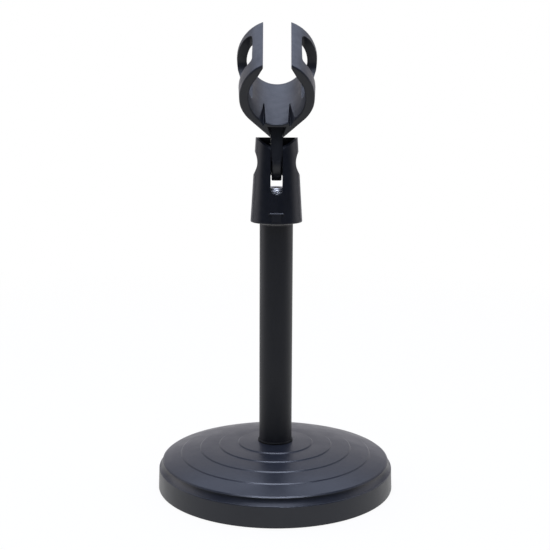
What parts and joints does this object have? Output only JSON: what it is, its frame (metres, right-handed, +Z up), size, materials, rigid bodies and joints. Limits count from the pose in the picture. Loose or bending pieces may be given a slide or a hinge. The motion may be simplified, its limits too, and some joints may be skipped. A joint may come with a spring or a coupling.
{
  "type": "desktop microphone stand",
  "caption": "Desktop microphone stand: weighted round foot, straight column, screw-on fork and a tilting C-shaped clip that grips a handheld microphone.",
  "frame": {"origin": "centre of the round foot on the table plane", "axes": "+Z up along the column; the clip tilts about an axis along X; +Y is the way the wide end of the clip points at rest"},
  "size_m": [0.13, 0.13, 0.2538],
  "materials": {
    "cover_black": "satin moulded",
    "cast_weight": "as cast",
    "plate_black": "satin",
    "zinc_steel": "zinc plated",
    "ring_rubber": "matte",
    "tube_black": "satin powder coat",
    "turned_steel": "turned",
    "nickel": "nickel plated",
    "holder_black": "satin moulded",
    "washer_nylon": "matte",
    "clip_black": "satin flexible",
    "foot_rubber": "matte"
  },
  "bodies": {
    "stand": {"base_cover": "cover_black", "base_weight": "cast_weight", "bottom_plate": "plate_black", "plate_screws": "zinc_steel", "rubber_foot_1": "foot_rubber", "rubber_foot_2": "foot_rubber", "rubber_foot_3": "foot_rubber", "rubber_foot_4": "foot_rubber", "column_bolt": "zinc_steel", "column_washer": "zinc_steel", "column_spring_washer": "zinc_steel", "foot_ring": "ring_rubber", "column_tube": "tube_black", "tube_plug": "turned_steel", "top_stud": "nickel"},
    "ring": {"stud_ring": "zinc_steel"},
    "holder": {"holder_body": "holder_black", "thread_insert": "nickel", "pivot_screw": "zinc_steel", "pivot_screw_washer": "zinc_steel", "pivot_nut": "zinc_steel", "pivot_nut_washer": "zinc_steel", "friction_washer_left": "washer_nylon", "friction_washer_right": "washer_nylon"},
    "clip": {"clip_cradle": "clip_black"}
  },
  "joints": [
    {"name": "holder_rise", "type": "slide", "parent": "stand", "child": "ring", "axis": [0, 0, 1], "range_m": [0, 0.00095]},
    {"name": "holder_turn", "type": "hinge", "parent": "ring", "child": "holder", "pos_m": [0, 0, 0.1792], "axis": [0, 0, 1], "range_deg": [0, 360]},
    {"name": "clip_tilt", "type": "hinge", "parent": "holder", "child": "clip", "pos_m": [0, 0, 0.1792], "axis": [1, 0, 0], "range_deg": [-114, 66]}
  ],
  "couplings": [
    {"joint": "holder_rise", "follows": "holder_turn", "m_per_rad": 0.00014972}
  ]
}
